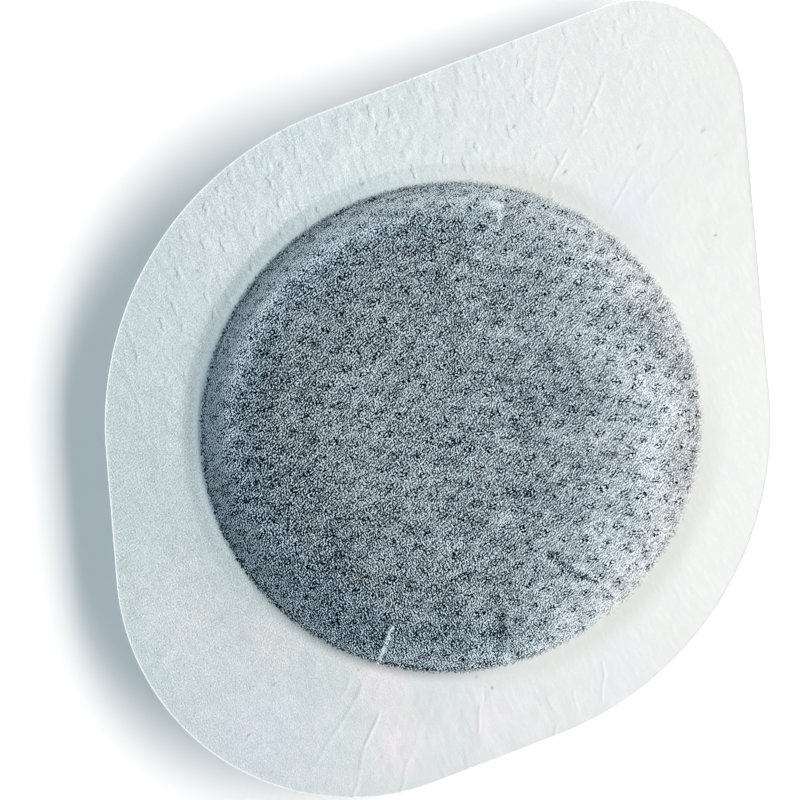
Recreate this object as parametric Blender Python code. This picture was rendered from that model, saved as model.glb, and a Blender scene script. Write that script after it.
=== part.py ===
"""Espresso pod: a pressed puck of ground coffee, sealed between two plies of filter paper.

Metres, +Z up. The pod lies on the flat underside of its lower ply. The origin is the centre of that
flat, on the axis of the puck, and +Y points along the pull tab. Both plies meet in one flat border
round the puck, which is cut to a drop shape: a main circle, a smaller circle at the tab and a third
one opposite, joined by their tangents.
"""

import math
from collections import namedtuple

import bmesh
import bpy
from mathutils import Vector

# Coffee compartment seen from above: the soft puck is a little oval
COMPARTMENT_LONG_RADIUS = 0.0221
COMPARTMENT_SHORT_RADIUS = 0.0214
COMPARTMENT_LONG_ANGLE = math.radians(57.0)

# Paper and its seal
PAPER_THICKNESS = 0.00012
SEAL_GAP = 0.00002
PUCK_CLEARANCE = 0.00008

# Lower ply: a shallow cup with a flat floor
CUP_DEPTH = 0.0050
CUP_WALL_WIDTH = 0.0045

# Upper ply: a dome with a steep shoulder on one side and a gentle one on the other
SHOULDER_HEIGHT = 0.0027
CROWN_HEIGHT = 0.0013
STEEP_SHOULDER_WIDTH = 0.0024
GENTLE_SHOULDER_WIDTH = 0.0070
GENTLE_SHOULDER_ANGLE = math.radians(2.0)

# Sealed border, cut a little off the axis of the puck
BORDER_WIDTH = 0.0072
BORDER_SHIFT_X = -0.0011
BORDER_SHIFT_Y = -0.0004
TAB_RADIUS = 0.0091
TAB_LENGTH = 0.0132
TAIL_RADIUS = 0.0206
TAIL_LENGTH = 0.0058

# Folds that the paper took round the puck: a positive height stands up, a negative one is sunk
Fold = namedtuple("Fold", "inner_angle inner_reach outer_angle outer_reach half_width height")
FOLDS = (
    Fold(math.radians(285.6), 0.0180, math.radians(285.0), 0.0217, 0.0006, 0.0003),
    Fold(math.radians(316.5), 0.0168, math.radians(314.5), 0.0215, 0.0010, -0.0005),
    Fold(math.radians(340.0), 0.0140, math.radians(349.3), 0.0212, 0.0009, -0.0004),
    Fold(math.radians(108.0), 0.0186, math.radians(110.0), 0.0214, 0.0007, -0.0003),
)

# Fineness of the meshes
SPOKE_STEP = math.radians(4.0)
FINE_SPOKE_STEP = math.radians(2.0)
TAB_ANGLE = math.radians(90.0)
TAB_HALF_SPAN = math.radians(12.0)
FOLD_SPOKES = (-1.0, -0.5, 0.0, 0.5, 1.0)
CLOSEST_SPOKES = math.radians(0.6)
SHOULDER_STEPS = (0.0, 0.08, 0.18, 0.32, 0.48, 0.70, 1.0)
CROWN_STEPS = (0.34, 0.67)
WALL_STEPS = (0.0, 0.10, 0.24, 0.42, 0.66, 1.0)
FLOOR_STEPS = (0.5,)
BORDER_STEPS = (0.5, 1.0)
SHARP_EDGE_ANGLE = math.radians(40.0)

# Heights that follow from the sizes above
LOWER_SEAL_FACE = PAPER_THICKNESS + CUP_DEPTH
UPPER_SEAL_FACE = LOWER_SEAL_FACE + SEAL_GAP

# Circles of the border's outline, as (centre, radius)
MAIN_RADIUS = COMPARTMENT_LONG_RADIUS + BORDER_WIDTH
MAIN_CENTRE = Vector((BORDER_SHIFT_X, BORDER_SHIFT_Y))
TAB_CENTRE = MAIN_CENTRE + Vector((0.0, MAIN_RADIUS + TAB_LENGTH - TAB_RADIUS))
TAIL_CENTRE = MAIN_CENTRE - Vector((0.0, MAIN_RADIUS + TAIL_LENGTH - TAIL_RADIUS))
MAIN_CIRCLE = (MAIN_CENTRE, MAIN_RADIUS)
TAB_CIRCLE = (TAB_CENTRE, TAB_RADIUS)
TAIL_CIRCLE = (TAIL_CENTRE, TAIL_RADIUS)


def clear_scene():
    for obj in list(bpy.data.objects):
        bpy.data.objects.remove(obj, do_unlink=True)


def direction(angle):
    return Vector((math.cos(angle), math.sin(angle)))


def compartment_radius(angle):
    turn = angle - COMPARTMENT_LONG_ANGLE
    along = math.cos(turn) / COMPARTMENT_LONG_RADIUS
    across = math.sin(turn) / COMPARTMENT_SHORT_RADIUS
    return 1.0 / math.hypot(along, across)


def circle_reach(circle, ray):
    """How far the ray from the axis goes to the far side of a circle, or 0 where it misses."""
    centre, radius = circle
    middle = centre.dot(ray)
    square = middle * middle - centre.length_squared + radius * radius
    return middle + math.sqrt(square) if square > 0.0 else 0.0


def tangents(first, second):
    """The two outer tangent stretches between two circles whose centres lie along Y."""
    (centre_a, radius_a), (centre_b, radius_b) = first, second
    gap = centre_b - centre_a
    lean = math.asin((radius_a - radius_b) / gap.length)
    for side in (1.0, -1.0):
        normal_angle = math.atan2(gap.y, gap.x) + side * (math.pi / 2.0 - lean)
        normal = direction(normal_angle)
        yield centre_a + radius_a * normal, centre_b + radius_b * normal


TANGENTS = (*tangents(MAIN_CIRCLE, TAB_CIRCLE), *tangents(MAIN_CIRCLE, TAIL_CIRCLE))


def stretch_reach(stretch, ray):
    """How far the ray goes to a straight stretch of the outline, or 0 where it misses."""
    start, end = stretch
    run = end - start
    turn = ray.x * run.y - ray.y * run.x
    if abs(turn) < 1e-9:
        return 0.0
    reach = (start.x * run.y - start.y * run.x) / turn
    share = (start.x * ray.y - start.y * ray.x) / turn
    return reach if 0.0 <= share <= 1.0 and reach > 0.0 else 0.0


def border_radius(angle):
    ray = direction(angle)
    circles = [circle_reach(circle, ray) for circle in (MAIN_CIRCLE, TAB_CIRCLE, TAIL_CIRCLE)]
    stretches = [stretch_reach(stretch, ray) for stretch in TANGENTS]
    return max(circles + stretches)


def angle_between(first, second):
    """The turn from one angle to the other, between minus and plus half a circle."""
    return (first - second + math.pi) % (2.0 * math.pi) - math.pi


def fold_angles():
    """Spokes that pass through each fold and beside it."""
    for fold in FOLDS:
        middle = fold.outer_angle
        half_span = fold.half_width / fold.outer_reach
        spread = abs(angle_between(fold.inner_angle, fold.outer_angle))
        for share in FOLD_SPOKES:
            yield middle + share * half_span
        if spread > 2.0 * half_span:
            for share in FOLD_SPOKES:
                yield fold.inner_angle + share * half_span


def spoke_angles():
    """Angles of the mesh's spokes: evenly round, closer at the tab, and through the folds."""
    wanted = list(fold_angles())
    tab_count = round(2.0 * TAB_HALF_SPAN / FINE_SPOKE_STEP)
    wanted += [TAB_ANGLE - TAB_HALF_SPAN + i * FINE_SPOKE_STEP for i in range(tab_count + 1)]
    wanted += [i * SPOKE_STEP for i in range(round(2.0 * math.pi / SPOKE_STEP))]
    kept = []
    for angle in wanted:
        angle %= 2.0 * math.pi
        if all(abs(angle_between(angle, other)) >= CLOSEST_SPOKES for other in kept):
            kept.append(angle)
    return sorted(kept)


SPOKES = spoke_angles()


def bump(share):
    """A smooth hill: 1 at 0 and 0 from 1 on."""
    return (1.0 - share * share) ** 2 if share < 1.0 else 0.0


def fold_height(point):
    """How far the folds lift or sink the upper ply at a point seen from above."""
    total = 0.0
    for fold in FOLDS:
        start = fold.inner_reach * direction(fold.inner_angle)
        end = fold.outer_reach * direction(fold.outer_angle)
        run = end - start
        share = (point - start).dot(run) / run.length_squared
        nearest = start + min(max(share, 0.0), 1.0) * run
        total += fold.height * bump((point - nearest).length / fold.half_width)
    return total


def shoulder_width(angle):
    mean = (GENTLE_SHOULDER_WIDTH + STEEP_SHOULDER_WIDTH) / 2.0
    swing = (GENTLE_SHOULDER_WIDTH - STEEP_SHOULDER_WIDTH) / 2.0
    return mean + swing * math.cos(angle - GENTLE_SHOULDER_ANGLE)


def rounded(share):
    """A wall that starts steep at 0 and runs out level at 1."""
    return 1.0 - (1.0 - min(share, 1.0)) ** 2


def dome_point(angle, reach):
    """A point of the upper ply's inner face over the puck."""
    rim = compartment_radius(angle)
    share = reach / rim
    shoulder = SHOULDER_HEIGHT * rounded((rim - reach) / shoulder_width(angle))
    crown = CROWN_HEIGHT * (1.0 - share * share)
    place = reach * direction(angle)
    height = UPPER_SEAL_FACE + shoulder + crown
    if 0.0 < reach < rim:
        height += fold_height(place) * min(shoulder / SHOULDER_HEIGHT * 2.0, 1.0)
    return Vector((place.x, place.y, height))


def cup_point(angle, reach):
    """A point of the lower ply's inner face under the puck."""
    rim = compartment_radius(angle)
    depth = CUP_DEPTH * rounded((rim - reach) / CUP_WALL_WIDTH)
    place = reach * direction(angle)
    return Vector((place.x, place.y, LOWER_SEAL_FACE - depth))


def dome_rings():
    """Rings of the upper ply's inner face, from the rim of the compartment inwards."""
    for step in SHOULDER_STEPS:
        yield [dome_point(a, compartment_radius(a) - step * shoulder_width(a)) for a in SPOKES]
    for step in CROWN_STEPS:
        yield [
            dome_point(a, (1.0 - step) * (compartment_radius(a) - shoulder_width(a)))
            for a in SPOKES
        ]


def cup_rings():
    """Rings of the lower ply's inner face, from the rim of the compartment inwards."""
    for step in WALL_STEPS:
        yield [cup_point(a, compartment_radius(a) - step * CUP_WALL_WIDTH) for a in SPOKES]
    for step in FLOOR_STEPS:
        yield [
            cup_point(a, (1.0 - step) * (compartment_radius(a) - CUP_WALL_WIDTH)) for a in SPOKES
        ]


def border_rings(height):
    """Flat rings of a ply's seal face, from the cut edge inwards."""
    for step in reversed(BORDER_STEPS):
        ring = []
        for angle in SPOKES:
            rim = compartment_radius(angle)
            place = (rim + step * (border_radius(angle) - rim)) * direction(angle)
            ring.append(Vector((place.x, place.y, height)))
        yield ring


def add_ring(bm, ring):
    return [bm.verts.new(point) for point in ring]


def bridge(bm, outer, inner):
    count = len(outer)
    for i in range(count):
        j = (i + 1) % count
        bm.faces.new((outer[i], outer[j], inner[j], inner[i]))


def cap(bm, ring, centre):
    middle = bm.verts.new(centre)
    count = len(ring)
    for i in range(count):
        bm.faces.new((ring[i], ring[(i + 1) % count], middle))


def skin(rings, centre):
    """A mesh of nested rings, the first one outermost, closed at the centre and facing up."""
    bm = bmesh.new()
    loops = [add_ring(bm, ring) for ring in rings]
    for outer, inner in zip(loops, loops[1:]):
        bridge(bm, outer, inner)
    cap(bm, loops[-1], centre)
    return bm


def finished_object(name, bm, material):
    """Makes the named object of a mesh, shaded smooth apart from its sharp edges."""
    mesh = bpy.data.meshes.new(name)
    bm.to_mesh(mesh)
    bm.free()
    mesh.shade_smooth()
    mesh.set_sharp_from_angle(angle=SHARP_EDGE_ANGLE)
    mesh.materials.append(material)
    obj = bpy.data.objects.new(name, mesh)
    bpy.context.scene.collection.objects.link(obj)
    return obj


def principled(name, colour, roughness):
    material = bpy.data.materials.new(name)
    material.use_nodes = True
    shader = material.node_tree.nodes["Principled BSDF"]
    shader.inputs["Base Color"].default_value = (*colour, 1.0)
    shader.inputs["Roughness"].default_value = roughness
    shader.inputs["Metallic"].default_value = 0.0
    return material


def thicken(obj, side):
    """Gives a ply its thickness: side 1 adds it above the modelled face, -1 below."""
    solidify = obj.modifiers.new("Paper thickness", "SOLIDIFY")
    solidify.thickness = PAPER_THICKNESS
    solidify.offset = side
    solidify.use_even_offset = True


def build_upper_filter_paper():
    rings = [*border_rings(UPPER_SEAL_FACE), *dome_rings()]
    paper = principled("Upper filter paper", (0.72, 0.77, 0.79), 0.8)
    obj = finished_object("upper_filter_paper", skin(rings, dome_point(0.0, 0.0)), paper)
    thicken(obj, 1.0)


def build_lower_filter_paper():
    rings = [*border_rings(LOWER_SEAL_FACE), *cup_rings()]
    paper = principled("Lower filter paper", (0.78, 0.80, 0.80), 0.8)
    obj = finished_object("lower_filter_paper", skin(rings, cup_point(0.0, 0.0)), paper)
    thicken(obj, -1.0)


def build_coffee_puck():
    """The coffee fills the compartment, so its mesh is the two inner faces, drawn in a little."""
    bm = bmesh.new()
    top = [add_ring(bm, ring) for ring in dome_rings()]
    rim = top[0]
    for vert in rim:
        vert.co.z = (UPPER_SEAL_FACE + LOWER_SEAL_FACE) / 2.0
    bottom = [rim] + [add_ring(bm, ring) for ring in list(cup_rings())[1:]]
    for outer, inner in zip(top, top[1:]):
        bridge(bm, outer, inner)
    for outer, inner in zip(bottom, bottom[1:]):
        bridge(bm, inner, outer)
    cap(bm, top[-1], dome_point(0.0, 0.0))
    cap(bm, bottom[-1][::-1], cup_point(0.0, 0.0))
    bm.normal_update()
    moves = [vert.normal * vert.calc_shell_factor() * PUCK_CLEARANCE for vert in bm.verts]
    for vert, move in zip(bm.verts, moves):
        vert.co -= move
    coffee = principled("Ground coffee", (0.045, 0.024, 0.014), 0.9)
    finished_object("coffee_puck", bm, coffee)


def main():
    clear_scene()
    build_lower_filter_paper()
    build_coffee_puck()
    build_upper_filter_paper()


main()
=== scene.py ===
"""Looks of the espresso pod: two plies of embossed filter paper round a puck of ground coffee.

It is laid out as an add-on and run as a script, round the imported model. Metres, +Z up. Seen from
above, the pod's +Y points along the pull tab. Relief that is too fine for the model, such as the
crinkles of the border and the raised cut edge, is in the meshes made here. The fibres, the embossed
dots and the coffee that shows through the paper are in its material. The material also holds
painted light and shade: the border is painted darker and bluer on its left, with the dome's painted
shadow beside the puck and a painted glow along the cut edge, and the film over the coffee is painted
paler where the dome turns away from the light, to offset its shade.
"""

import math
from collections import namedtuple

import bpy
import numpy as np
from bpy.props import FloatProperty, FloatVectorProperty, IntProperty, PointerProperty
from bpy.types import Operator, Panel, PropertyGroup
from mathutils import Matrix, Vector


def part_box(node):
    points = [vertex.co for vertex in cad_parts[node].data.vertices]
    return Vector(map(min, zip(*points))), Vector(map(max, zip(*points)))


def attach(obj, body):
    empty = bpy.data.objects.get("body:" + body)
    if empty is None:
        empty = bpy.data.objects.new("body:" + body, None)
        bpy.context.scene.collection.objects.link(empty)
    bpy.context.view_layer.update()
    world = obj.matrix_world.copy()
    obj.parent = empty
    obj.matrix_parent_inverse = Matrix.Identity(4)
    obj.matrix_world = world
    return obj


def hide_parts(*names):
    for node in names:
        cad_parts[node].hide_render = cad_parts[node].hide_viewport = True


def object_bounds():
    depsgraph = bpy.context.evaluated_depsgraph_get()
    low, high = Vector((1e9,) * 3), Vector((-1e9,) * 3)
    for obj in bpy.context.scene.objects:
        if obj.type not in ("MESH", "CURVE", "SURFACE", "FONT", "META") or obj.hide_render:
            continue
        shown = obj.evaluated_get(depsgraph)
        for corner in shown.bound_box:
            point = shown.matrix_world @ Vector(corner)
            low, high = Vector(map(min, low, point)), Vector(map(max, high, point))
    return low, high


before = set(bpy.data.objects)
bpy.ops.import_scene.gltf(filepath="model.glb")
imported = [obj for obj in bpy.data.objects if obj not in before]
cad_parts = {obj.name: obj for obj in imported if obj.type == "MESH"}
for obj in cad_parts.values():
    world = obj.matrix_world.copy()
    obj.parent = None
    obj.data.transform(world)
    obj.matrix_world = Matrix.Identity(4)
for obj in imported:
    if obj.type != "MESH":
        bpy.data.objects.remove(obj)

bl_info = {
    "name": "Espresso pod",
    "version": (1, 0, 0),
    "blender": (4, 5, 0),
    "location": "View3D > Sidebar > Espresso pod",
    "description": "Builds the papers, the coffee and the studio of an espresso pod",
    "category": "Add Mesh",
}

CAD_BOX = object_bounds()
UPPER_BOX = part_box("upper_filter_paper")
LOWER_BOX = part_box("lower_filter_paper")

MM = 0.001
FULL_TURN = 2.0 * math.pi
WHITE = (1.0, 1.0, 1.0)
BLACK = (0.0, 0.0, 0.0)

# The photograph: its size, the place of the puck's axis in it, its scale and the camera's roll
PICTURE_SIZE = 800
AXIS_PIXEL_X = 450.8
AXIS_PIXEL_Y = 427.2
PIXEL = 0.088 * MM
ROLL = math.radians(32.2)

# Where relief sets in, in metres from the rim: inside it for folds and lumps, else outside it
FOLD_START = (0.0, 0.0018)
LUMP_START = (0.0005, 0.0030)
SWAY_START = (0.0, 0.0060)
CRINKLE_START = (0.0010, 0.0026)
LOWER_START = (0.0010, 0.0030)
# Heights of the border's slow bend and of the gathers in the cup's wall
SWAY = 0.08 * MM
PUCKER = 0.12 * MM
# How far creases and marks waver from a straight line
CREASE_WAVER = 0.12 * MM
MARK_WAVER = 0.07 * MM
# How far the lower ply's crinkles are turned, and its fibres shifted, from those of the upper one
LOWER_TURN = 0.4
LOWER_SHIFT = 3.0 * MM
# How many times fewer points the hidden inner face has, both ways
COARSER = 3
# Rings of the raised cut edge, in widths of it
LIP_STEPS = (1.0, 0.66, 0.33, 0.0)
# A ray and a line that turn less than this count as parallel
PARALLEL = 1e-9
SHARP_ANGLE = math.radians(75.0)

# Where the first dot lies, in steps of the two rows, how far dots stray in mm, and how they lean
DOT_PHASE_A = 0.51
DOT_PHASE_B = 0.10
DOT_SCATTER = 0.30
DOT_LEAN = math.radians(25.0)
# Where a dot is full and where it ends, in shares of its oval
DOT_EDGE = (0.74, 1.12)
# Fine strokes of the fibres in mm, and how much their directions spread, from 0 to 1
STROKE_SPACING = 0.225
STROKE_LENGTH = 0.34
STROKE_SPREAD = 0.22
# What brings the strokes to a deviation of 1, and the hairs to their width
STROKE_GAIN = 12.0
HAIR_GAIN = 20.0
# Half length and width in mm of a bump of the embossing, and where it is full and ends
BUMP_OVAL = (0.66, 0.26)
BUMP_EDGE = (0.30, 1.20)
# Short crinkles: cells to a radian round the axis, cells to a millimetre outwards, and sharpness
CRINKLES_ROUND = 46.0
CRINKLES_OUT = 1.1
CRINKLE_GAIN = 9.0
# Layer of noise of each ply, and the directions of its fibres
UPPER_FIBRES = (0.0, ROLL + math.radians(47.0), ROLL + math.radians(115.0))
LOWER_FIBRES = (40.0, math.radians(115.0), math.radians(30.0))
# Depths of the reliefs of the paper and of the coffee
PAPER_BUMP = 0.06 * MM
COFFEE_BUMP = 0.15 * MM
GRAINS_PER_METRE = 1900.0
DISPLAY_GAMMA = 2.2
# Noise of the paper: cells to a millimetre, a seed, and how much finer detail it has
BLOTCHES = {
    "lean": (3.4, 3.0, 0.0),
    "stroke_patches": (4.2, 33.0, 0.0),
    "clumps": (1.1, 9.0, 1.0),
    "clouds": (0.28, 13.0, 1.0),
    "waver": (2.4, 17.0, 0.0),
    "ragged": (4.5, 21.0, 0.0),
    "rim_grains_and_shade": (3.6, 23.0, 0.0),
    "brown": (2.9, 25.0, 0.0),
    "mottle": (0.55, 27.0, 2.0),
    "drift": (0.16, 29.0, 1.0),
}
# Noise drawn out along the fibres: a turn in radians, width and length of its cells in mm, a seed
FIBRES = {
    "fine": (0.5, 0.10, 0.16, 31.0),
    "hair": (0.15, 0.30, 1.1, 35.0),
    "other_hair": (-0.2, 0.34, 0.9, 37.0),
    "broad": (0.0, 0.30, 0.62, 7.0),
    "streaks": (-0.45, 0.95, 2.3, 43.0),
    "grains": (-0.35, 0.13, 0.26, 19.0),
    "wrinkle": (0.0, 0.5, 1.4, 41.0),
}
# Bands inside the rim, in mm: full up to the first number, and gone from the second
SHOULDER_BAND = (1.4, 3.6)
STEEP_BAND = (0.9, 1.9)
BRIGHT_BAND = (0.6, 4.5)
COOL_BAND = (2.5, 7.0)
# Where the pale ledge sets in and where it ends, in mm inside the rim. The ledge is partly paper
# that stands off the coffee and partly painted light that offsets the shade of the steep shoulder
LEDGE_START = (0.70, 0.90)
LEDGE_END = (1.1, 1.9)
# The same band for the painted glow along the cut edge, in mm inside it
EDGE_GLOW_BAND = (0.05, 0.12)
# How a colour of the film differs from its tone: a shift, then shares of the level, of brown, of
# the right side, of the bright rim and of the cool rim
FILM_COLOURS = {
    "Red": (-0.076, 0.050, 0.12, 0.004, -0.010, -0.033),
    "Green": (0.008, -0.004, -0.05, 0.0, -0.036, 0.006),
    "Blue": (0.061, -0.034, -0.02, 0.0, -0.052, 0.027),
}
DARKEST = 0.01
# How strongly the felt of the fibres shows on the border: everywhere, and more on some sides
FELT = 0.04
FELT_SIDES = {"left": 0.86, "top": 0.40, "low": 0.10}
# How much paler a painted highlight of the embossing is, where a dark speck has 1
HIGHLIGHT_STRENGTH = 0.10
# Reach that counts as 1 where the sealed paper gets warmer and paler across the picture, from
# painted shade on the left to painted light on the right
LIT_REACH = 30.0 * MM

# Cells across a lamp when its light is summed up, and the width of the camera's sensor in mm
LAMP_CELLS = 40
SENSOR_WIDTH = 36.0
FLOOR_SIZE = 4.0
FLOOR_GAP = 0.02 * MM

# Folds that the paper took round the puck, the same as in the solid: degrees round the axis, and
# metres for reaches, half width and height over the puck
Fold = namedtuple("Fold", "inner_angle inner_reach outer_angle outer_reach half_width height")
FOLDS = tuple(Fold(*values) for values in (
    (285.6, 0.0180, 285.0, 0.0217, 0.0006, 0.0003),
    (316.5, 0.0168, 314.5, 0.0215, 0.0010, -0.0005),
    (340.0, 0.0140, 349.3, 0.0212, 0.0009, -0.0004),
    (108.0, 0.0186, 110.0, 0.0214, 0.0007, -0.0003),
))

# Creases of the border, from one pixel of the photograph to another: half width and height in mm
Crease = namedtuple("Crease", "start_x start_y end_x end_y half_width height")
CREASES = tuple(Crease(*values) for values in (
    (475, 58, 481, 86, 0.14, 0.053),
    (486, 77, 488, 94, 0.13, 0.045),
    (492, 105, 491, 128, 0.13, 0.038),
    (475, 98, 470, 111, 0.13, 0.030),
    (429, 72, 430, 90, 0.14, 0.038),
    (421, 92, 427, 104, 0.13, 0.030),
    (539, 45, 533, 102, 0.17, 0.045),
    (555, 84, 549, 110, 0.15, 0.038),
    (569, 22, 567, 45, 0.15, 0.038),
    (563, 60, 555, 88, 0.15, 0.045),
    (601, 15, 596, 69, 0.17, 0.045),
    (604, 75, 586, 123, 0.19, 0.068),
    (583, 131, 578, 139, 0.14, 0.038),
    (569, 148, 552, 181, 0.16, 0.053),
    (636, 56, 620, 89, 0.19, 0.030),
    (632, 174, 611, 212, 0.17, 0.045),
    (684, 145, 670, 163, 0.17, 0.022),
    (662, 179, 646, 203, 0.17, 0.030),
    (374, 112, 377, 128, 0.16, -0.038),
    (342, 174, 346, 187, 0.14, -0.038),
    (208, 218, 214, 225, 0.13, -0.045),
    (125, 619, 171, 593, 0.13, 0.038),
    (171, 593, 224, 571, 0.13, 0.038),
    (122, 602, 133, 596, 0.13, -0.060),
    (379, 714, 365, 745, 0.19, 0.075),
    (365, 745, 355, 797, 0.17, 0.060),
    (350, 678, 343, 695, 0.16, 0.038),
    (362, 687, 336, 732, 0.25, 0.038),
    (336, 732, 314, 768, 0.28, 0.030),
    (407, 760, 402, 792, 0.17, 0.045),
    (487, 668, 483, 702, 0.13, -0.045),
    (480, 706, 479, 733, 0.15, 0.045),
    (547, 699, 556, 711, 0.16, 0.045),
    (602, 662, 605, 677, 0.15, 0.045),
    (605, 677, 602, 702, 0.16, 0.038),
    (574, 692, 579, 709, 0.19, 0.038),
    (466, 745, 467, 760, 0.15, 0.038),
    (558, 725, 556, 739, 0.17, 0.038),
))

# Marks in the tone of the paper, from one pixel to another: half width in mm, and how much lighter.
# The pale and dark lines beside the folds are painted highlight and painted shade of their relief
Mark = namedtuple("Mark", "start_x start_y end_x end_y half_width tone")
MARKS = tuple(Mark(*values) for values in (
    (392, 627, 383, 648, 0.30, 0.62),
    (383, 648, 378, 664, 0.26, 0.68),
    (388, 626, 378, 646, 0.30, -0.16),
    (357, 403, 358, 410, 0.16, 0.40),
    (548, 553, 568, 570, 0.50, -0.28),
    (568, 570, 587, 577, 0.42, -0.30),
    (591, 578, 612, 597, 0.16, -0.30),
    (560, 545, 582, 566, 0.90, 0.12),
    (498, 612, 496, 655, 0.80, -0.18),
    (502, 628, 503, 658, 0.35, -0.22),
    (489, 664, 497, 655, 0.26, -0.40),
    (508, 618, 507, 662, 0.35, 0.26),
    (478, 640, 472, 655, 0.60, 0.14),
    (501, 191, 499, 222, 0.30, 0.16),
    (497, 192, 500, 203, 0.14, -0.30),
    (256, 574, 270, 566, 0.18, -0.60),
    (266, 596, 278, 586, 0.17, -0.55),
    (291, 619, 304, 612, 0.17, -0.50),
    (217, 490, 240, 479, 0.17, -0.48),
    (230, 503, 258, 498, 0.17, -0.42),
    (214, 470, 238, 459, 0.16, -0.38),
    (213, 402, 231, 406, 0.15, -0.34),
    (224, 520, 247, 508, 0.16, -0.38),
))

# Stains seen through the paper: a pixel, a radius in mm, and how much warmer and lighter it is there
Stain = namedtuple("Stain", "pixel_x pixel_y radius warmth shade")
STAINS = tuple(Stain(*values) for values in (
    (494, 291, 0.34, 0.9, 0.0),
    (614, 456, 0.36, 1.0, -0.12),
    (533, 459, 0.30, 0.5, -0.25),
    (314, 347, 0.30, 0.7, -0.20),
    (579, 322, 0.50, 0.35, 0.12),
    (362, 110, 0.45, 0.35, 0.0),
    (476, 677, 0.24, 0.5, -0.3),
    (360, 577, 0.60, 0.5, -0.10),
))

# Dark specks in the sealed border: a pixel and a radius in mm
Speck = namedtuple("Speck", "pixel_x pixel_y radius strength", defaults=(1.0,))
SPECKS = tuple(Speck(*values) for values in (
    (233, 198, 0.18),
    (254, 159, 0.14),
    (197, 271, 0.16),
    (280, 234, 0.14),
    (514, 127, 0.18),
    (363, 184, 0.20),
    (703, 130, 0.16),
    (716, 235, 0.18),
    (716, 156, 0.14),
    (638, 147, 0.14),
    (565, 172, 0.16),
    (274, 684, 0.20),
    (301, 737, 0.20),
    (270, 772, 0.16),
    (193, 660, 0.14),
    (229, 731, 0.16),
    (249, 735, 0.14),
    (358, 671, 0.18),
    (492, 688, 0.20),
))

# Pale spots of the sealed border, painted highlights where its embossing catches the light: a pixel
# and a radius in mm
EMBOSS_HIGHLIGHTS = tuple(Speck(*values) for values in (
    (162, 558, 0.50),
    (184, 552, 0.40),
    (207, 545, 0.35),
    (137, 564, 0.35),
    (452, 134, 0.45),
    (479, 134, 0.40),
    (497, 136, 0.40),
    (427, 158, 0.40),
    (445, 158, 0.35),
    (457, 157, 0.35),
    (470, 157, 0.35),
    (510, 160, 0.40),
    (512, 116, 0.40),
    (536, 143, 0.45),
    (261, 171, 0.45),
    (291, 182, 0.45),
    (216, 250, 0.50),
    (247, 255, 0.45),
    (163, 378, 0.90),
    (184, 472, 0.60),
))

# Tints of the sealed border: a pixel, a radius in mm, and how pink and how lilac it is there
Tint = namedtuple("Tint", "pixel_x pixel_y radius pink lilac")
TINTS = tuple(Tint(*values) for values in (
    (271, 640, 4.0, 0.5, 0.0),
    (385, 680, 4.5, 0.7, 0.0),
    (400, 742, 5.0, 0.8, 0.1),
    (262, 738, 8.5, 0.0, 0.75),
    (500, 715, 6.0, 0.5, 0.2),
    (617, 671, 4.0, 0.1, 0.4),
    (630, 205, 4.5, 0.1, 0.6),
    (235, 215, 10.0, 0.15, 0.0),
    (190, 620, 7.0, 0.22, 0.0),
))

# Patches of the puck, paler or darker, partly where the paper stands off the coffee or hugs it and
# partly painted light and shade: paler where the steep shoulder turns away from the key light, to
# offset its shade, and paler on the right and darker on the lower left, as the light from the right
# falls on the dome. Each holds the middle and half span of the patch round the axis, in degrees of
# the picture, the shares of the puck's radius where it starts and is full, and the change of tone
Patch = namedtuple("Patch", "middle half_span start full tone")
PATCHES = tuple(Patch(*values) for values in (
    (3.0, 95.0, 0.40, 0.80, 0.205),
    (130.0, 70.0, 0.35, 0.60, -0.04),
    (3.0, 60.0, 0.70, 0.80, -0.06),
    (3.0, 55.0, 0.88, 0.96, 0.05),
    (325.0, 50.0, 0.72, 0.90, 0.065),
    (80.0, 60.0, 0.80, 0.94, 0.20),
    (150.0, 85.0, 0.82, 0.93, 0.36),
    (175.0, 65.0, 0.90, 0.95, 0.14),
    (225.0, 55.0, 0.88, 0.98, 0.14),
    (225.0, 85.0, 0.40, 0.75, -0.12),
    (293.0, 48.0, 0.86, 0.95, 0.15),
    (190.0, 60.0, 0.35, 0.60, -0.05),
))

# Parts of the border that are more crumpled than the rest, in degrees of the picture
Crumple = namedtuple("Crumple", "middle half_span amount")
CRUMPLES = tuple(Crumple(*values) for values in (
    (115.0, 55.0, 0.65),
    (265.0, 45.0, 0.25),
    (165.0, 40.0, 0.20),
))

# Sides of the pod that look different: middle and half span in degrees of the picture, and a power
# that makes them fade later where it is under 1
SIDES = {
    # Side of the pale ledge, partly painted light against the shade of the steep shoulder
    "ledge": (128.0, 62.0, 0.5),
    "ragged_rim": (188.0, 118.0, 0.4),
    # Side of the dome's shadow on the border, which is painted as a darker and bluer ring
    "ring": (142.0, 92.0, 0.5),
    # Painted light in the corner beside the puck on the left, and painted shade beside it on the lower left
    "corner_light_and_shade": (172.0, 55.0, 1.0),
    "lower_corner_shade": (250.0, 45.0, 1.0),
    "cream": (325.0, 70.0, 1.0),
    "upper_cream": (68.0, 42.0, 1.0),
    "right": (0.0, 80.0, 1.0),
    "low": (250.0, 70.0, 1.0),
    "left": (175.0, 90.0, 0.5),
    "top": (120.0, 70.0, 0.5),
}


def length_property(name, description, default):
    return FloatProperty(name=name, description=description, default=default, unit="LENGTH", precision=5)


def angle_property(name, description, degrees):
    return FloatProperty(name=name, description=description, default=math.radians(degrees), subtype="ANGLE")


def share_property(name, description, default):
    return FloatProperty(name=name, description=description, default=default, subtype="FACTOR")


def colour_property(name, description, default):
    return FloatVectorProperty(
        name=name, description=description, default=default, size=3, subtype="COLOR", min=0.0, max=1.0
    )


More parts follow.
